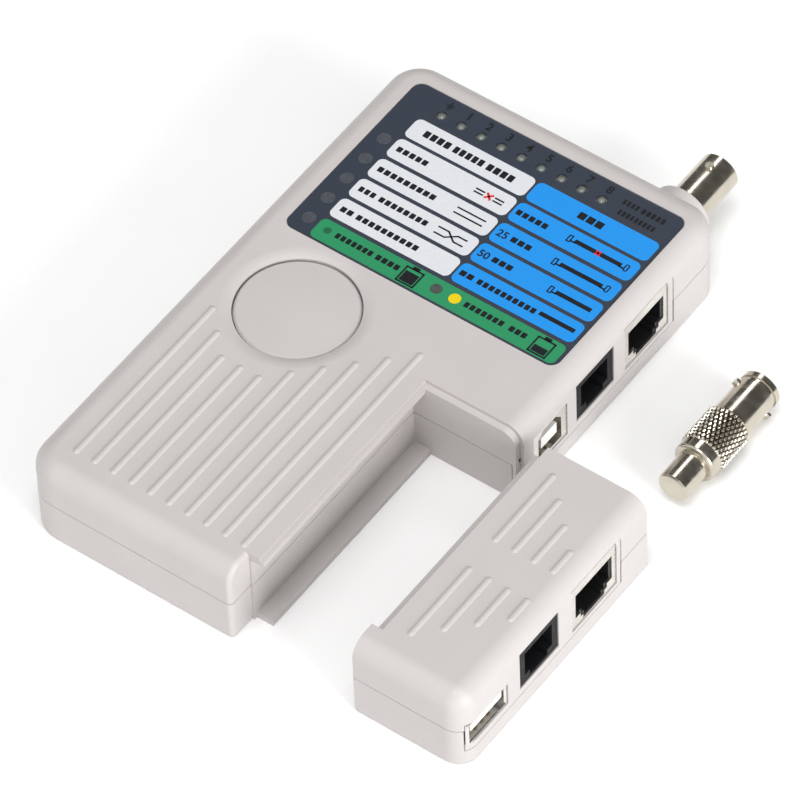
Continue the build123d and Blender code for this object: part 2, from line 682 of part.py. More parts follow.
with BuildPart() as battery_snap:
    snap_far = battery_far + 2.9
    block((battery_x - 12.6, battery_x + 12.6), (battery_far + 0.1, snap_far),
          (battery_middle_z - 5.6, battery_middle_z + 5.6))
    fillet(battery_snap.edges().filter_by(Axis.Y), 3.0)
    for side, radius in ((1, 3.0), (-1, 4.9)):
        round_bar(battery_x + side * terminal_spread, battery_middle_z, radius, (battery_far, snap_far - 0.5),
                  Mode.SUBTRACT)


def battery_lead(x, drop_y):
    """A lead from the snap's back down to the board."""
    start = (x, snap_far, battery_middle_z)
    with BuildPart() as lead:
        with BuildLine() as route:
            FilletPolyline(start, (x, drop_y, battery_middle_z), (x, drop_y, board_top), radius=1.2)
        with BuildSketch(Plane(origin=start, z_dir=(0, 1, 0))):
            Circle(lead_radius)
        sweep()
    return lead


battery_lead_positive = battery_lead(battery_x + 9.0, -15.6)
battery_lead_negative = battery_lead(battery_x - 10.0, -15.6)

with BuildPart() as battery_door:
    door_top = door_recess + door_thickness
    block((door_left, door_left + door_width), (door_near, door_far), (door_recess, door_top))
    fillet(battery_door.edges().filter_by(Axis.Z), 1.0)
    # Two hooks that reach over the shell's floor, and the latch tongue at the other end
    hook_low = wall + door_gap
    for x in (battery_x - hook_spread, battery_x + hook_spread):
        hook_x = (x - hook_width / 2, x + hook_width / 2)
        block(hook_x, (door_far - 1.5, door_far), (door_top, hook_low + hook_thickness))
        block(hook_x, (door_far - 1.5, door_far + door_gap + hook_reach), (hook_low, hook_low + hook_thickness))
    block((battery_x - 5, battery_x + 5), (door_near + 0.1, door_near + 1.1), (door_top, door_top + 1.2))
    # Finger grip: a row of grooves across the outside
    for i in range(6):
        groove = door_near + 5.0 + i * 2.2
        block((battery_x - 7, battery_x + 7), (groove, groove + 1.0), (0, door_recess + 0.5), Mode.SUBTRACT)

# ================================================================ fasteners


def case_screws(places, length):
    """Cross-head screws driven up from the underside, one solid for each place."""
    with BuildPart() as screws:
        upright(places, screw_head_radius, (screw_recess - screw_head_height, screw_recess))
        upright(places, screw_radius, (screw_recess, screw_recess + length))
        head_low = screw_recess - screw_head_height
        for x, y in places:
            for half_x, half_y in ((1.5, 0.3), (0.3, 1.5)):
                block((x - half_x, x + half_x), (y - half_y, y + half_y), (head_low - 1, head_low + 0.9),
                      Mode.SUBTRACT)
    return screws


main_case_screws = case_screws(main_screws, screw_length)
remote_case_screws = case_screws(remote_screws, screw_length)

# ================================================================ remote unit
usb_a_relief = [
    (remote_right - 14.5, remote_right - wall + 0.3),
    (remote_usb_a_y - usb_a_width / 2 - 0.1, remote_usb_a_y + usb_a_width / 2 + 0.1),
    (usb_a_bottom - 0.1, usb_a_bottom + usb_a_height + 0.1),
]
remote_windows = [
    (remote_rj45_y, rj45_width, board_top, board_top + rj45_height),
    (remote_rj11_y, rj11_width, rj11_window_bottom, board_top + rj11_height),
    (remote_usb_a_y, usb_a_width, usb_a_bottom, usb_a_bottom + usb_a_height),
]

# The outside of both shells: rounded block, open rabbet for the main unit's lip, slot for its
# rail and a recess for its stepped band.
with BuildPart() as remote_outside:
    spare = 20.0
    outline_left, outline_far = remote_ear_left - spare, remote_far + spare
    with BuildSketch():
        with Locations(((outline_left + remote_right) / 2, (remote_near + outline_far) / 2)):
            RectangleRounded(remote_right - outline_left, outline_far - remote_near, remote_corner_radius + 0.3)
    extrude(amount=case_height)
    fillet(remote_outside.faces().sort_by(Axis.Z)[-1].edges(), top_round)
    fillet(remote_outside.faces().sort_by(Axis.Z)[0].edges(), bottom_round)
    everywhere = (-far_away, far_away)
    alongside = (remote_ear_far, far_away)
    block((-far_away, remote_ear_left), everywhere, everywhere, Mode.SUBTRACT)
    block((-far_away, remote_left), alongside, everywhere, Mode.SUBTRACT)
    block(everywhere, (remote_far, far_away), everywhere, Mode.SUBTRACT)
    block((-far_away, remote_rabbet_x), alongside, (remote_rabbet_z, remote_overhang_z), Mode.SUBTRACT)
    block((-far_away, remote_skin_left), alongside, (remote_rabbet_z, far_away), Mode.SUBTRACT)
    rail_slot_x = rail_edge_x + dock_gap + dock_travel
    block((-far_away, rail_slot_x), (rail_near_y - dock_gap, far_away), (-1, rail_thickness + dock_gap),
          Mode.SUBTRACT)
    with BuildSketch(Plane.XZ.offset(-far_away)):
        recess_width = remote_rim_x + far_away
        recess_height = remote_overhang_z + far_away
        with Locations((remote_rim_x - recess_width / 2, remote_overhang_z - recess_height / 2)):
            RectangleRounded(recess_width, recess_height, top_round - band_step)
    extrude(amount=far_away - remote_far_wall, mode=Mode.SUBTRACT)

with BuildPart() as remote_hollow:
    inner_right = remote_right - wall
    inner_near = remote_near + wall
    with BuildSketch(Plane.XY.offset(wall)):
        with Locations(((remote_inner_left + inner_right) / 2, (inner_near + remote_inner_far) / 2)):
            RectangleRounded(inner_right - remote_inner_left, remote_inner_far - inner_near, 2.6)
    extrude(amount=ceiling - wall)
    fillet(remote_hollow.faces().sort_by(Axis.Z)[-1].edges(), top_round - wall)

with BuildPart() as remote_lower_zone:
    block((-far_away, far_away), (-far_away, far_away), (-1, seam_height))
    block((remote_right - wall - 0.1, far_away), (remote_near + 1.9, remote_skirt_end),
          (skirt_height, seam_height + 1), Mode.SUBTRACT)

with BuildPart() as remote_top_shell:
    add(remote_outside.part)
    add(remote_hollow.part, mode=Mode.SUBTRACT)
    add(remote_lower_zone.part, mode=Mode.SUBTRACT)
    for i in range(remote_rib_count):
        x = remote_ribs_far_x + i * rib_pitch
        rib(x, remote_ribs_far_near_y, remote_ribs_far_tip_y - i * rib_pitch)
        rib(x, remote_ribs_near_tip_y + i * rib_pitch, remote_ribs_near_far_y)
    for middle, width, low, high in remote_windows:
        half = width / 2 + window_gap
        block((remote_right - wall - 1, remote_right + 1), (middle - half, middle + half),
              (low - window_gap, high + window_gap), Mode.SUBTRACT)
    block((remote_right - 0.3, remote_right + 1), (remote_skirt_end - 0.25, remote_skirt_end + 0.25),
          (skirt_height, board_top + rj45_height), Mode.SUBTRACT)
    upright(remote_screws, post_radius, (seam_height, ceiling + 0.2))
    upright(remote_screws, screw_radius + 0.02, (seam_height - 1, seam_height + 6.5), Mode.SUBTRACT)
    block(*usb_a_relief, Mode.SUBTRACT)

with BuildPart() as remote_bottom_shell:
    add(remote_outside.part)
    add(remote_hollow.part, mode=Mode.SUBTRACT)
    add(remote_lower_zone.part, mode=Mode.INTERSECT)
    block((-far_away, far_away), (-far_away, far_away), (seam_height - seam_gap, seam_height + 1), Mode.SUBTRACT)
    block((remote_right - wall - 0.3, far_away), (remote_near + 1.7, remote_skirt_end + 0.2),
          (skirt_height - seam_gap, far_away), Mode.SUBTRACT)
    upright(remote_screws, post_radius, (wall - 0.2, seam_height - seam_gap))
    upright(remote_screws, screw_radius + 0.25, (-1, seam_height + 1), Mode.SUBTRACT)
    upright(remote_screws, screw_head_radius + 0.25, (-1, screw_recess), Mode.SUBTRACT)
    upright([(68, -12), (68, -67), (58, -34)], 1.8, (wall - 0.2, board_bottom))
    block(*usb_a_relief, Mode.SUBTRACT)

with BuildPart() as remote_board:
    block((remote_inner_left + 0.4, remote_right - 3.0), (inner_near + 0.5, remote_inner_far - 0.5),
          (board_bottom, board_top))
    fillet(remote_board.edges().filter_by(Axis.Z), 2.4)
    upright(remote_screws, post_radius + 0.4, (0, 10), Mode.SUBTRACT)

with BuildPart() as remote_diodes:
    for i in range(2):
        with Locations((remote_inner_left + 2.4, -24.0 - i * 10.0, board_top + 0.9)):
            Box(1.8, 4.2, 1.8)

remote_face = remote_right - socket_inset
remote_rj45_shield, remote_rj45_insert, remote_rj45_contacts = rj45_socket(remote_face, remote_rj45_y)
remote_rj11_housing, remote_rj11_contacts = rj11_socket(remote_face, remote_rj11_y)
remote_usb_a_shell, remote_usb_a_tongue, remote_usb_a_contacts = usb_a_socket(remote_face, remote_usb_a_y)

# ================================================================ files
save(main_top_shell, "main_top_shell")
save(main_bottom_shell, "main_bottom_shell")
save(display_label, "display_label")
save(wire_lamps, "wire_lamps")
save(state_lamps, "state_lamps")
save(battery_lamp, "battery_lamp")
save(button_cap, "button_cap")
save(test_switch, "test_switch")
save(switch_plunger, "switch_plunger")
save(button_spring, "button_spring")
save(main_board, "main_board")
save(control_chip, "control_chip")
save(lamp_resistors, "lamp_resistors")
save(main_rj45_shield, "main_rj45_shield")
save(main_rj45_insert, "main_rj45_insert")
save(main_rj45_contacts, "main_rj45_contacts")
save(main_rj11_housing, "main_rj11_housing")
save(main_rj11_contacts, "main_rj11_contacts")
save(main_usb_b_shell, "main_usb_b_shell")
save(main_usb_b_tongue, "main_usb_b_tongue")
save(main_usb_b_contacts, "main_usb_b_contacts")
save(bnc_jack_body, "bnc_jack_body")
save(bnc_jack_insulator, "bnc_jack_insulator")
save(bnc_jack_contact, "bnc_jack_contact")
save(terminator_cap, "terminator_cap")
save(terminator_sleeve, "terminator_sleeve")
save(terminator_barrel, "terminator_barrel")
save(terminator_insulator, "terminator_insulator")
save(terminator_contact, "terminator_contact")
save(terminator_resistor, "terminator_resistor")
save(battery, "battery")
save(battery_terminals, "battery_terminals")
save(battery_snap, "battery_snap")
save(battery_lead_positive, "battery_lead_positive")
save(battery_lead_negative, "battery_lead_negative")
save(battery_door, "battery_door")
save(main_case_screws, "main_case_screws")
save(remote_case_screws, "remote_case_screws")
save(remote_top_shell, "remote_top_shell")
save(remote_bottom_shell, "remote_bottom_shell")
save(remote_board, "remote_board")
save(remote_diodes, "remote_diodes")
save(remote_rj45_shield, "remote_rj45_shield")
save(remote_rj45_insert, "remote_rj45_insert")
save(remote_rj45_contacts, "remote_rj45_contacts")
save(remote_rj11_housing, "remote_rj11_housing")
save(remote_rj11_contacts, "remote_rj11_contacts")
save(remote_usb_a_shell, "remote_usb_a_shell")
save(remote_usb_a_tongue, "remote_usb_a_tongue")
save(remote_usb_a_contacts, "remote_usb_a_contacts")
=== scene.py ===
import math

import bmesh
import bpy
from mathutils import Matrix, Vector


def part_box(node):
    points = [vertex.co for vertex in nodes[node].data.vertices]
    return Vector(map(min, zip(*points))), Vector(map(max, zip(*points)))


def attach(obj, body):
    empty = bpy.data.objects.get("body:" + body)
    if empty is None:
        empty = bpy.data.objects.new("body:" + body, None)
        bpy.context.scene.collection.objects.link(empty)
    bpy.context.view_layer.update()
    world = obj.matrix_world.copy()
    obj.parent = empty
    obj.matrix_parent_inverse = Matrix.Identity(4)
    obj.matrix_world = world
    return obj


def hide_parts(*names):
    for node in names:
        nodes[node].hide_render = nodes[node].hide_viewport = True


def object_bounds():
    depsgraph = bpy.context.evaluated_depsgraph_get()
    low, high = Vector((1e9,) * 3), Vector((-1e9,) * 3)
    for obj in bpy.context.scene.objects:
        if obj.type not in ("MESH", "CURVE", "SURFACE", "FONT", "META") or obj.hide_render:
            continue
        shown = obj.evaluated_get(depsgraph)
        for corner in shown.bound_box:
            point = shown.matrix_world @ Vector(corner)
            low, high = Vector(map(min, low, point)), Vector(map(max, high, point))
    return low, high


# A network cable tester: main unit with a printed display label, docking remote unit and a
# loose coax terminator. Metres, in the frame of the CAD model.

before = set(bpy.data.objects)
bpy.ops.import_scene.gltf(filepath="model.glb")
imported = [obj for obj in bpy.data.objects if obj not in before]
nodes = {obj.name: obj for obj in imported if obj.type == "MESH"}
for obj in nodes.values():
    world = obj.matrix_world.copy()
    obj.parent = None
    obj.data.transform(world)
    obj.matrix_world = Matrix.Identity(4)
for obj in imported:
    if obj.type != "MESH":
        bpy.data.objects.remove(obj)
cad_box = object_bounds()
MM = 0.001

# ---------------------------------------------------------------- camera
camera_data = bpy.data.cameras.new("camera")
camera_data.sensor_width = 36.0
camera_data.lens = 340.1
camera_data.shift_x = 0.00095
camera_data.clip_start = 0.05
camera_data.clip_end = 20.0
camera = bpy.data.objects.new("camera", camera_data)
bpy.context.scene.collection.objects.link(camera)
camera_place = Vector((0.65488, -0.82817, 1.27755))
camera_right = Vector((0.80808, 0.58834, -0.02939))
camera_up = Vector((-0.43883, 0.63452, 0.63625))
camera_back = Vector((0.39298, -0.50124, 0.77093))
camera_turn = Matrix((camera_right, camera_up, camera_back)).transposed()
camera.matrix_world = Matrix.Translation(camera_place) @ camera_turn.to_4x4()
bpy.context.scene.camera = camera
bpy.context.scene.view_settings.view_transform = "Standard"


# ---------------------------------------------------------------- materials
def linear(red, green, blue):
    """An 8-bit screen colour as the linear colour a shader takes."""
    def one(value):
        value = value / 255
        return value / 12.92 if value <= 0.04045 else ((value + 0.055) / 1.055) ** 2.4
    return (one(red), one(green), one(blue), 1.0)


class Finish:
    """A material in the making: a Principled shader and noise patterns on Object coordinates."""

    def __init__(self, name, roughness, metallic=0.0):
        self.material = bpy.data.materials.new(name)
        self.material.use_nodes = True
        self.tree = self.material.node_tree
        self.shader = self.tree.nodes["Principled BSDF"]
        self.shader.inputs["Roughness"].default_value = roughness
        self.shader.inputs["Metallic"].default_value = metallic
        self.places = self.tree.nodes.new("ShaderNodeTexCoord").outputs["Object"]

    def link(self, source, target):
        self.tree.links.new(source, target)

    def mapped(self, stretch=(1, 1, 1), turn=(0, 0, 0), shift=(0, 0, 0)):
        mapping = self.tree.nodes.new("ShaderNodeMapping")
        mapping.inputs["Location"].default_value = shift
        mapping.inputs["Rotation"].default_value = turn
        mapping.inputs["Scale"].default_value = stretch
        self.link(self.places, mapping.inputs["Vector"])
        return mapping.outputs["Vector"]

    def noise(self, scale, detail=3.0, stretch=None):
        pattern = self.tree.nodes.new("ShaderNodeTexNoise")
        pattern.inputs["Scale"].default_value = scale
        pattern.inputs["Detail"].default_value = detail
        self.link(self.mapped(stretch) if stretch else self.places, pattern.inputs["Vector"])
        return pattern.outputs["Fac"]

    def spread(self, value, low, high, start=0.3, end=0.7):
        spread = self.tree.nodes.new("ShaderNodeMapRange")
        spread.inputs["From Min"].default_value = start
        spread.inputs["From Max"].default_value = end
        spread.inputs["To Min"].default_value = low
        spread.inputs["To Max"].default_value = high
        self.link(value, spread.inputs["Value"])
        return spread.outputs["Result"]

    def colours(self, value, dark, light, start=0.3, end=0.7):
        mix = self.tree.nodes.new("ShaderNodeMix")
        mix.data_type = "RGBA"
        mix.inputs["A"].default_value = dark
        mix.inputs["B"].default_value = light
        self.link(self.spread(value, 0.0, 1.0, start, end), mix.inputs["Factor"])
        return mix.outputs["Result"]

    def paint(self, value, dark, light, start=0.3, end=0.7):
        self.link(self.colours(value, dark, light, start, end), self.shader.inputs["Base Color"])
        return self

    def gloss(self, value, low, high):
        self.link(self.spread(value, low, high), self.shader.inputs["Roughness"])
        return self

    def bumps(self, *patterns):
        """Each pattern is (value, depth in metres); later ones lie on the earlier."""
        normal = None
        for value, depth in patterns:
            bump = self.tree.nodes.new("ShaderNodeBump")
            bump.inputs["Distance"].default_value = depth
            self.link(value, bump.inputs["Height"])
            if normal:
                self.link(normal, bump.inputs["Normal"])
            normal = bump.outputs["Normal"]
        self.link(normal, self.shader.inputs["Normal"])
        return self

    def set(self, **values):
        for name, value in values.items():
            self.shader.inputs[name.replace("_", " ")].default_value = value
        return self


def around(colour, amount):
    """A slightly darker and a slightly lighter shade of a colour."""
    dark = tuple(c * (1 - amount) for c in colour[:3]) + (1.0,)
    light = tuple(min(1.0, c * (1 + amount)) for c in colour[:3]) + (1.0,)
    return dark, light


def moulded(name, colour, roughness=0.5, grain=0.00002, variation=0.02, sink=0.00004):
    """Moulded plastic: fine spark-eroded grain over a faint uneven skin."""
    finish = Finish(name, roughness)
    finish.paint(finish.noise(60.0, 4.0), *around(colour, variation))
    finish.gloss(finish.noise(900.0), roughness - 0.06, roughness + 0.06)
    finish.bumps((finish.noise(45.0, 1.0), sink), (finish.noise(2600.0, 2.0), grain))
    return finish


def metal(name, colour, roughness=0.2, lines=(1, 1, 1), depth=0.000004):
    """Plated or drawn metal with fine tool lines and smudges."""
    finish = Finish(name, roughness, 1.0)
    finish.paint(finish.noise(250.0, 5.0), *around(colour, 0.06))
    finish.gloss(finish.noise(400.0, 6.0, lines), roughness * 0.7, roughness * 1.5)
    finish.bumps((finish.noise(3000.0, 3.0, lines), depth))
    return finish


def printed(name, colour, roughness=0.42):
    """Screen print on polyester film: even colour with a very fine tooth."""
    finish = Finish(name, roughness)
    finish.paint(finish.noise(1800.0, 4.0), *around(colour, 0.035))
    finish.gloss(finish.noise(700.0), roughness - 0.05, roughness + 0.05)
    finish.bumps((finish.noise(1500.0, 2.0), 0.000008))
    finish.set(Specular_IOR_Level=0.25)
    return finish


def lens(name, colour, roughness=0.16):
    """A moulded lamp lens with a little depth to it."""
    finish = Finish(name, roughness)
    finish.paint(finish.noise(900.0), *around(colour, 0.25))
    finish.bumps((finish.noise(1200.0), 0.00001))
    finish.set(Transmission_Weight=0.25, IOR=1.52, Coat_Weight=0.4)
    return finish


def circuit_board(name):
    """Green solder mask with tracks and pads showing through."""
    finish = Finish(name, 0.32)
    brick = finish.tree.nodes.new("ShaderNodeTexBrick")
    brick.inputs["Scale"].default_value = 260.0
    brick.inputs["Mortar Size"].default_value = 0.012
    brick.inputs["Color1"].default_value = (0.012, 0.11, 0.045, 1)
    brick.inputs["Color2"].default_value = (0.014, 0.13, 0.05, 1)
    brick.inputs["Mortar"].default_value = (0.03, 0.24, 0.1, 1)
    finish.link(finish.places, brick.inputs["Vector"])
    finish.link(brick.outputs["Color"], finish.shader.inputs["Base Color"])
    finish.gloss(finish.noise(500.0), 0.25, 0.4)
    finish.bumps((brick.outputs["Fac"], 0.00002), (finish.noise(1500.0), 0.00001))
    return finish


shell_colour = linear(189, 184, 182)
slate = linear(47, 54, 66)
looks = {
    "shell": moulded("shell_moulding", shell_colour),
    "button": moulded("button_moulding", linear(188, 183, 181), 0.46, sink=0.00002),
    "film": printed("label_film_slate", slate, 0.4),
    "lamp": lens("lamp_lens_clear", linear(124, 128, 124), 0.3),
    "dim_lamp": lens("lamp_window_dark", linear(70, 75, 83), 0.35),
    "battery_lamp": lens("lamp_window_smoke", linear(62, 76, 66), 0.3),
    "board": circuit_board("solder_mask_green"),
    "chip": moulded("chip_epoxy", linear(28, 28, 30), 0.6),
    "resistor": moulded("resistor_lacquer", linear(196, 170, 128), 0.4),
    "switch": moulded("switch_nylon", linear(40, 40, 42), 0.5),
    "steel": metal("socket_tinplate", linear(216, 213, 206), 0.24, (1, 0.15, 1)),
    "usb_steel": metal("usb_tinplate", linear(222, 220, 216), 0.2, (0.2, 1, 1)),
    "black": moulded("socket_nylon_black", linear(22, 22, 24), 0.42),
    "grey_black": moulded("phone_socket_nylon", linear(20, 21, 24), 0.55).set(Specular_IOR_Level=0.2),
    "gold": metal("contact_gold", linear(226, 186, 110), 0.22),
    "white": moulded("tongue_nylon_white", linear(232, 232, 228), 0.45),
    "nickel": metal("nickel_plating", linear(202, 195, 181), 0.19),
    # Painted shade: a darker nickel colour for the shade that falls in the knurl's grooves
    "groove": metal("nickel_shadowed", linear(88, 84, 75), 0.4),
    "ptfe": moulded("insulator_white", linear(228, 226, 218), 0.5),
    "jacket": metal("battery_jacket", linear(60, 66, 80), 0.35),
    "screw": metal("screw_zinc", linear(180, 180, 176), 0.3),
    "spring": metal("spring_wire", linear(190, 190, 190), 0.22),
    "red_lead": moulded("lead_insulation_red", linear(176, 30, 26), 0.4),
    "black_lead": moulded("lead_insulation_black", linear(26, 26, 28), 0.4),
    "snap": moulded("snap_vinyl", linear(24, 24, 26), 0.45),
}
wearing = {
    "shell": ["main_top_shell", "main_bottom_shell", "battery_door", "remote_top_shell",
              "remote_bottom_shell"],
    "button": ["button_cap"],
    "film": ["display_label"],
    "lamp": ["wire_lamps"],
    "dim_lamp": ["state_lamps"],
    "battery_lamp": ["battery_lamp"],
    "board": ["main_board", "remote_board"],
    "chip": ["control_chip", "remote_diodes"],
    "resistor": ["lamp_resistors", "terminator_resistor"],
    "switch": ["test_switch", "switch_plunger"],
    "steel": ["main_rj45_shield", "remote_rj45_shield", "main_usb_b_shell"],
    "usb_steel": ["remote_usb_a_shell"],
    "black": ["main_rj45_insert", "remote_rj45_insert"],
    "grey_black": ["main_rj11_housing", "remote_rj11_housing"],
    "gold": ["main_rj45_contacts", "remote_rj45_contacts", "main_rj11_contacts", "remote_rj11_contacts",
             "main_usb_b_contacts", "remote_usb_a_contacts", "bnc_jack_contact", "terminator_contact"],
    "white": ["main_usb_b_tongue", "remote_usb_a_tongue"],
    "nickel": ["bnc_jack_body", "terminator_cap", "terminator_barrel", "terminator_sleeve"],
    "ptfe": ["bnc_jack_insulator", "terminator_insulator"],
    "jacket": ["battery"],
    "screw": ["battery_terminals", "main_case_screws", "remote_case_screws"],
    "spring": ["button_spring"],
    "red_lead": ["battery_lead_positive"],
    "black_lead": ["battery_lead_negative"],
    "snap": ["battery_snap"],
}
for look, names in wearing.items():
    for node_name in names:
        for material_slot in nodes[node_name].material_slots:
            material_slot.material = looks[look].material


# ---------------------------------------------------------------- making pieces
def piece(name, mesh, finish, body, smooth=False):
    """Puts a finished bmesh into the scene as one piece that rides on a body."""
    data = bpy.data.meshes.new(name)
    mesh.to_mesh(data)
    mesh.free()
    for face in data.polygons:
        face.use_smooth = smooth
    data.materials.append(finish.material)
    made = bpy.data.objects.new(name, data)
    bpy.context.scene.collection.objects.link(made)
    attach(made, body)
    return made


# The label's print is laid out on a grid of 0.73 mm squares from a corner of the film.
GRID = 0.73 * MM
grid_origin_x = -35.59 * MM
grid_origin_y = 13.87 * MM
film_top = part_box("display_label")[1].z
ground_height = 0.02 * MM
ink_height = 0.035 * MM
over_ink_height = ink_height + 0.01 * MM
corner_steps = 7
line_width = 0.6
thin_line_width = 0.44
sign_line_width = 0.4
cross_line_width = 0.75
figure_weight = 0.018


def on_film(x, y, height):
    """The place over a grid point, at a height above the film's face."""
    return Vector((grid_origin_x + x * GRID, grid_origin_y + y * GRID, film_top + height))


def plate(mesh, left, right, low, high, height, radius=0.0, turn=0.0):
    """A flat printed patch on the film, given on the label's grid, with rounded corners."""
    middle = on_film((left + right) / 2, (low + high) / 2, height / 2)
    size = Matrix.Diagonal(((right - left) * GRID, (high - low) * GRID, height, 1))
    placing = Matrix.Translation(middle) @ Matrix.Rotation(turn, 4, "Z") @ size
    corners = bmesh.ops.create_cube(mesh, size=1.0, matrix=placing)["verts"]
    if radius:
        uprights = {e for v in corners for e in v.link_edges
                    if abs(e.verts[0].co.z - e.verts[1].co.z) > height * 0.5}
        bmesh.ops.bevel(mesh, geom=list(uprights), offset=radius * GRID, segments=corner_steps,
                        profile=0.5, affect="EDGES", material=-1)


def stroke(mesh, start, end, width, height=ink_height):
    """A straight printed line between two grid points."""
    run = Vector(end) - Vector(start)
    middle = (Vector(start) + Vector(end)) / 2
    half = run.length / 2
    plate(mesh, middle.x - half, middle.x + half, middle.y - width / 2, middle.y + width / 2, height,
          turn=math.atan2(run.y, run.x))


def disc(mesh, x, y, radius, height):
    """A round printed dot on the film."""
    bmesh.ops.create_cone(mesh, cap_ends=True, segments=40, radius1=radius * GRID, radius2=radius * GRID,
                          depth=height, matrix=Matrix.Translation(on_film(x, y, height / 2)))


def figures(mesh, text, x, y, size):
    """Numerals set on the film, with their left edge and base line on the grid."""
    curve = bpy.data.curves.new("figures", "FONT")
    curve.body = text
    curve.size = size * GRID
    curve.extrude = ink_height / 2
    curve.offset = figure_weight * size * GRID
    curve.align_x = "LEFT"
    holder = bpy.data.objects.new("figures", curve)
    bpy.context.scene.collection.objects.link(holder)
    bpy.context.view_layer.update()
    shape = bpy.data.meshes.new_from_object(holder)
    shape.transform(Matrix.Translation(on_film(x, y, ink_height / 2)))
    mesh.from_mesh(shape)
    bpy.data.objects.remove(holder)
    bpy.data.meshes.remove(shape)


def print_on_label(name, mesh, finish):
    """One colour of the label's print as a piece of the main unit."""
    piece(name, mesh, finish, "main_unit")


# Patches of ground colour: a heading and four rows on each side, and the band below them
rows = [(39.9, 48.2), (30.1, 38.45), (20.5, 28.7), (10.8, 19.1)]
white_span = (8.8, 53.2)
blue_span = (54.0, 98.7)
header = (49.45, 57.9)
band = (0.95, 9.3)
patch_radius = 2.0

white_patches = bmesh.new()
blue_patches = bmesh.new()
for low, high in [header] + rows:
    plate(white_patches, *white_span, low, high, ground_height, patch_radius)
    plate(blue_patches, *blue_span, low, high, ground_height, patch_radius)
green_band = bmesh.new()
plate(green_band, white_span[0], blue_span[1] + 0.1, *band, ground_height, patch_radius)
print_on_label("label_white_patches", white_patches, printed("ink_white", linear(208, 210, 214)))
print_on_label("label_blue_patches", blue_patches, printed("ink_blue", linear(24, 138, 220)))
print_on_label("label_green_band", green_band, printed("ink_green", linear(38, 136, 89)))


# Rows of plain blocks stand in for the words
block_gap = 0.55
block_round = 0.25
word_height = 2.1
heading_height = 2.7
resistance_size = 3.9
resistance_drop = 1.35


def blocks(mesh, left, right, count, middle, height):
    """Blank blocks in a row, as many as the word would have letters."""
    pitch = (right - left + 0.5) / count
    for number in range(count):
        start = left + number * pitch
        plate(mesh, start, start + pitch - block_gap, middle - height / 2, middle + height / 2, ink_height,
              block_round)


black_ink = bmesh.new()
white_row_words = [[(10.7, 22.0, 5)], [(10.7, 32.0, 9)], [(10.7, 16.6, 3), (18.2, 36.0, 8)],
                   [(10.9, 15.3, 2), (16.8, 39.5, 10)]]
blue_row_words = [[(55.2, 66.5, 5)], [(60.2, 67.4, 3)], [(60.2, 67.4, 3)],
                  [(55.2, 60.0, 2), (61.6, 82.8, 10)]]
row_middles = [(low + high) / 2 for low, high in rows]
for words in (white_row_words, blue_row_words):
    for middle, spans in zip(row_middles, words):
        for left, right, count in spans:
            blocks(black_ink, left, right, count, middle, word_height)
for value, middle in (("25", row_middles[1]), ("50", row_middles[2])):
    figures(black_ink, value, 55.1, middle - resistance_drop, resistance_size)
header_middle = sum(header) / 2
for left, right, count in ((13.9, 23.6, 4), (25.0, 36.0, 5), (37.4, 47.2, 4), (71.3, 80.2, 3)):
    blocks(black_ink, left, right, count, header_middle, heading_height)
band_middle = sum(band) / 2 + 0.4
for left, right, count in ((15.9, 29.5, 7), (30.9, 39.4, 4), (63.6, 77.8, 7), (80.0, 86.2, 3)):
    blocks(black_ink, left, right, count, band_middle, word_height)


# Pictures of the wiring states
wire_step = 1.3
plug_half_height = 1.25
plug_depth = 1.1
cable_half_height = 0.8


def twin_lines(mesh, left, right, middle, apart=1.1):
    """Two wires side by side."""
    for side in (-1, 1):
        stroke(mesh, (left, middle + side * apart), (right, middle + side * apart), line_width)


twin_lines(black_ink, 39.7, 43.1, row_middles[0], 0.65)
twin_lines(black_ink, 46.7, 50.1, row_middles[0], 0.65)
twin_lines(black_ink, 39.5, 50.1, row_middles[1])
for side in (-1, 1):
    upper = row_middles[2] + side * wire_step
    lower = row_middles[2] - side * wire_step
    stroke(black_ink, (39.3, upper), (43.4, upper), line_width)
    stroke(black_ink, (43.2, upper), (46.6, lower), line_width)
    stroke(black_ink, (46.4, lower), (50.0, lower), line_width)


def cable_end(mesh, x, middle, side):
    """A plug drawn in outline: a flange and a stepped body towards the cable."""
    for dx in (0.0, plug_depth):
        stroke(mesh, (x + side * dx, middle - plug_half_height), (x + side * dx, middle + plug_half_height),
               thin_line_width)
    for dy in (-plug_half_height, plug_half_height):
        stroke(mesh, (x - 0.13, middle + dy), (x + side * plug_depth + 0.13, middle + dy), thin_line_width)
    left, right = sorted((x + side * 1.2, x + side * 3.0))
    plate(mesh, left, right, middle - 0.9, middle - 0.3, ink_height)


def cable(mesh, left, right, middle, ends):
    """A cable with a plug at its left end, or at both."""
    plate(mesh, left + 2.4, right - 2.4 if ends == 2 else right, middle - cable_half_height,
          middle + cable_half_height, ink_height)
    cable_end(mesh, left, middle, 1)
    if ends == 2:
        cable_end(mesh, right, middle, -1)


cable(black_ink, 74.0, 95.8, row_middles[0] + 0.3, 2)
cable(black_ink, 75.6, 95.8, row_middles[1] + 0.1, 2)
cable(black_ink, 80.9, 96.2, row_middles[2] + 0.1, 1)
plate(black_ink, 84.0, 96.8, row_middles[3] - 0.4, row_middles[3] + 1.2, ink_height)

# Battery pictures: outlines with a dark charge
battery_low = 1.7
battery_high = 7.8
for left, charge in ((40.9, 4.2), (89.2, 2.6)):
    right = left + 6.1
    for x in (left, right):
        stroke(black_ink, (x, battery_low), (x, battery_high), line_width)
    for y in (battery_low, battery_high):
        stroke(black_ink, (left - 0.26, y), (right + 0.26, y), line_width)
    plate(black_ink, left + 1.8, right - 1.8, battery_high, 9.0, ink_height, 0.3)
    plate(black_ink, left + 0.6, right - 0.6, 2.2, 2.2 + charge, ink_height, 0.2)
print_on_label("label_black_print", black_ink, printed("ink_black", linear(12, 15, 22)))

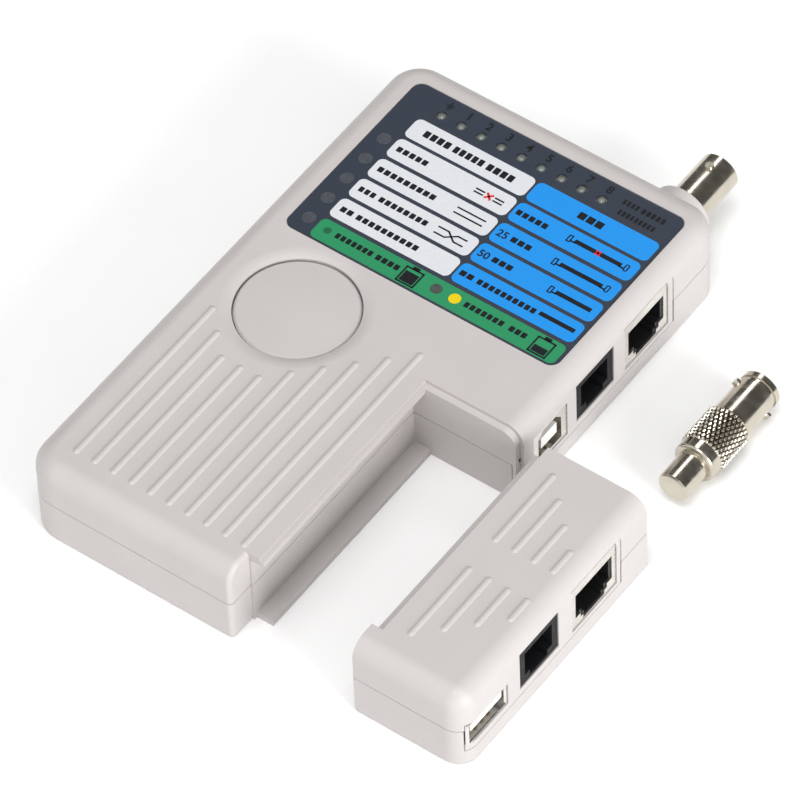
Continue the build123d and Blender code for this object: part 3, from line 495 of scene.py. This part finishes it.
# Red crosses over the shorted wires and the shorted cable
red_ink = bmesh.new()
for x, middle, reach in ((44.9, row_middles[0], 1.15), (84.9, row_middles[0] + 0.3, 0.85)):
    for lean in (-1, 1):
        stroke(red_ink, (x - reach, middle - lean * reach), (x + reach, middle + lean * reach),
               cross_line_width, over_ink_height)
print_on_label("label_red_print", red_ink, printed("ink_red", linear(206, 36, 44)))

# Numerals over the lamps, and a ground sign over the first
lamp_grid_x = 14.0
lamp_grid_pitch = 7.45
half_numeral = 1.1
dark_ink = bmesh.new()
for number in range(1, 9):
    figures(dark_ink, str(number), lamp_grid_x + number * lamp_grid_pitch - half_numeral, 65.6, 4.3)
stroke(dark_ink, (lamp_grid_x, 67.2), (lamp_grid_x, 68.8), sign_line_width)
for reach, y in ((1.4, 67.2), (0.9, 66.5), (0.45, 65.8)):
    stroke(dark_ink, (lamp_grid_x - reach, y), (lamp_grid_x + reach, y), sign_line_width)
for left, right, count, y in ((79.4, 85.0, 4, 65.6), (86.2, 94.6, 5, 65.6), (80.4, 93.6, 9, 61.4)):
    blocks(dark_ink, left, right, count, y, word_height)
print_on_label("label_dark_print", dark_ink, printed("ink_near_black", linear(16, 18, 23)))

# Printed windows over the lamps that stay under the film, and the coloured dots of the band
dot_middle = 5.5
dot_radius = 1.95
state_windows = bmesh.new()
for y in (6.6, 16.2, 25.75, 35.35, 44.95):
    disc(state_windows, 5.1, y, 2.25, ink_height)
print_on_label("label_state_windows", state_windows, looks["dim_lamp"])
battery_window = bmesh.new()
disc(battery_window, 53.2, dot_middle, dot_radius, ink_height)
print_on_label("label_battery_window", battery_window, looks["battery_lamp"])
yellow_dot = bmesh.new()
disc(yellow_dot, 60.0, dot_middle, dot_radius, ink_height)
print_on_label("label_yellow_dot", yellow_dot, printed("ink_yellow", linear(222, 194, 6)))
dark_green_dot = bmesh.new()
disc(dark_green_dot, 12.8, dot_middle, 1.3, ink_height)
print_on_label("label_green_dot", dark_green_dot, printed("ink_dark_green", linear(28, 94, 64)))

# ---------------------------------------------------------------- knurled sleeve of the terminator
sleeve_low, sleeve_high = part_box("terminator_sleeve")
axis_x = (sleeve_low.x + sleeve_high.x) / 2
axis_z = (sleeve_low.z + sleeve_high.z) / 2
knurl_radius = (sleeve_high.x - sleeve_low.x) / 2
bore_radius = 3.82 * MM
collar_radius = 5.2 * MM
collar_end = sleeve_low.y + 3.1 * MM
collar_round = 0.8 * MM
collar_round_steps = 8
shoulder = 0.35 * MM
end_chamfer = 0.6 * MM
knurl_start = collar_end + 0.45 * MM
knurl_end = sleeve_high.y - end_chamfer
knurl_rows = 90
knurl_turns = 360
knurl_teeth = 30
knurl_depth = 0.5 * MM
knurl_groove_depth = 0.28 * MM
knurl_stretch = 2.0
knurl_slope = 2 * math.pi * knurl_radius / knurl_teeth * knurl_stretch
tooth_flat = 1.7
outline = [(sleeve_low.y, bore_radius), (sleeve_low.y, collar_radius - collar_round)]
for step in range(1, collar_round_steps + 1):
    angle = math.pi / 2 * step / collar_round_steps
    outline.append((sleeve_low.y + collar_round * (1 - math.cos(angle)),
                    collar_radius - collar_round * (1 - math.sin(angle))))
outline += [(collar_end, collar_radius), (collar_end, knurl_radius - shoulder), (knurl_start, knurl_radius)]
for row in range(1, knurl_rows):
    outline.append((knurl_start + (knurl_end - knurl_start) * row / knurl_rows, knurl_radius))
outline += [(knurl_end, knurl_radius), (sleeve_high.y, knurl_radius - end_chamfer)]
outline.append((sleeve_high.y, bore_radius))
knurl = bmesh.new()
ring = [knurl.verts.new((axis_x + radius, y, axis_z)) for y, radius in outline]
edges = [knurl.edges.new((a, b)) for a, b in zip(ring, ring[1:] + ring[:1])]
bmesh.ops.spin(knurl, geom=ring + edges, cent=(axis_x, 0, axis_z), axis=(0, 1, 0), angle=2 * math.pi,
               steps=knurl_turns, use_merge=True)
bmesh.ops.remove_doubles(knurl, verts=knurl.verts, dist=0.000001)
# Two crossing spiral grooves leave flat-topped diamonds
for vertex in knurl.verts:
    across = Vector((vertex.co.x - axis_x, vertex.co.z - axis_z))
    if knurl_start <= vertex.co.y <= knurl_end and across.length > collar_radius:
        around_share = math.atan2(across.y, across.x) / (2 * math.pi) * knurl_teeth
        along_share = (vertex.co.y - knurl_start) / knurl_slope
        slants = [abs((around_share + side * along_share) % 1.0 - 0.5) * 2 for side in (-1, 1)]
        height = min(1.0, tooth_flat * min(1 - slants[0], 1 - slants[1]))
        across *= (knurl_radius - knurl_depth * (1 - height)) / across.length
        vertex.co.x = axis_x + across.x
        vertex.co.z = axis_z + across.y
bmesh.ops.recalc_face_normals(knurl, faces=knurl.faces)
knurl_sleeve = piece("terminator_knurled_sleeve", knurl, looks["nickel"], "bnc_terminator")
# The floors of the grooves are duller than the plated tops and carry painted shade: a darker nickel colour
# stands in for the shade that falls in them
knurl_sleeve.data.materials.append(looks["groove"].material)
for face in knurl_sleeve.data.polygons:
    from_axis = Vector((face.center.x - axis_x, face.center.z - axis_z)).length
    in_knurl = knurl_start < face.center.y < knurl_end and from_axis > collar_radius - 0.2 * MM
    face.material_index = int(in_knurl and from_axis < knurl_radius - knurl_groove_depth)
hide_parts("terminator_sleeve")

# ---------------------------------------------------------------- floor and light
floor_half_size = 4.0
floor_clearance = 0.02 * MM
floor_mesh = bmesh.new()
bmesh.ops.create_grid(floor_mesh, x_segments=2, y_segments=2, size=floor_half_size)
floor_data = bpy.data.meshes.new("floor")
floor_mesh.to_mesh(floor_data)
floor_mesh.free()
floor = bpy.data.objects.new("floor", floor_data)
floor.location.z = cad_box[0].z - floor_clearance
bpy.context.scene.collection.objects.link(floor)
floor_finish = Finish("floor_paper", 0.9)
floor_finish.paint(floor_finish.noise(40.0), (0.965, 0.965, 0.965, 1), (0.975, 0.975, 0.975, 1))
floor_data.materials.append(floor_finish.material)

# The room is bright in front and dim behind, which gives plated metal its dark bands
front_strength = 0.84
back_strength = 0.1
world = bpy.data.worlds.new("studio")
world.use_nodes = True
room = world.node_tree
directions = room.nodes.new("ShaderNodeTexCoord")
parts = room.nodes.new("ShaderNodeSeparateXYZ")
fade = room.nodes.new("ShaderNodeMapRange")
fade.interpolation_type = "SMOOTHSTEP"
fade.inputs["From Min"].default_value = 0.1
fade.inputs["From Max"].default_value = 0.45
fade.inputs["To Min"].default_value = front_strength
fade.inputs["To Max"].default_value = back_strength
room.links.new(directions.outputs["Generated"], parts.inputs["Vector"])
room.links.new(parts.outputs["Y"], fade.inputs["Value"])
room.links.new(fade.outputs["Result"], room.nodes["Background"].inputs["Strength"])
room.nodes["Background"].inputs["Color"].default_value = (1.0, 1.0, 1.0, 1)
bpy.context.scene.world = world


def softbox(name, place, size, power):
    """A square area light that faces the object."""
    light = bpy.data.lights.new(name, "AREA")
    light.shape = "SQUARE"
    light.size = size
    light.energy = power
    holder = bpy.data.objects.new(name, light)
    holder.location = place
    holder.rotation_euler = (-Vector(place)).to_track_quat("-Z", "Y").to_euler()
    bpy.context.scene.collection.objects.link(holder)


softbox("key", place=(1.9, -0.35, 0.62), size=0.8, power=32.0)
softbox("overhead", place=(0.15, -0.35, 1.9), size=0.9, power=14.0)
softbox("strip", place=(-0.5, 1.1, 1.7), size=0.45, power=3.0)
